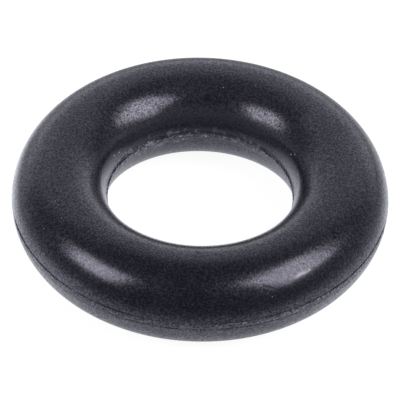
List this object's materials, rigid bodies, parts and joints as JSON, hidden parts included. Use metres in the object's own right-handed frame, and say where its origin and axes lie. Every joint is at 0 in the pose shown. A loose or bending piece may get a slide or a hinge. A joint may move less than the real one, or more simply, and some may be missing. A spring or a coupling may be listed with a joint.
{
  "type": "o-ring",
  "caption": "Thick moulded rubber o-ring with a round section and a thin trimmed flash line around its bore and its outside.",
  "frame": {"origin": "centre of the ring, on the parting plane of its mould", "axes": "+Z along the ring's axis; the ring lies flat, with X and Y in the parting plane"},
  "size_m": [0.0212, 0.0212, 0.0054],
  "materials": {
    "rubber": "black moulded seal rubber, satin with a fine matte grain"
  },
  "bodies": {
    "root": {"o_ring": "rubber"}
  },
  "joints": []
}
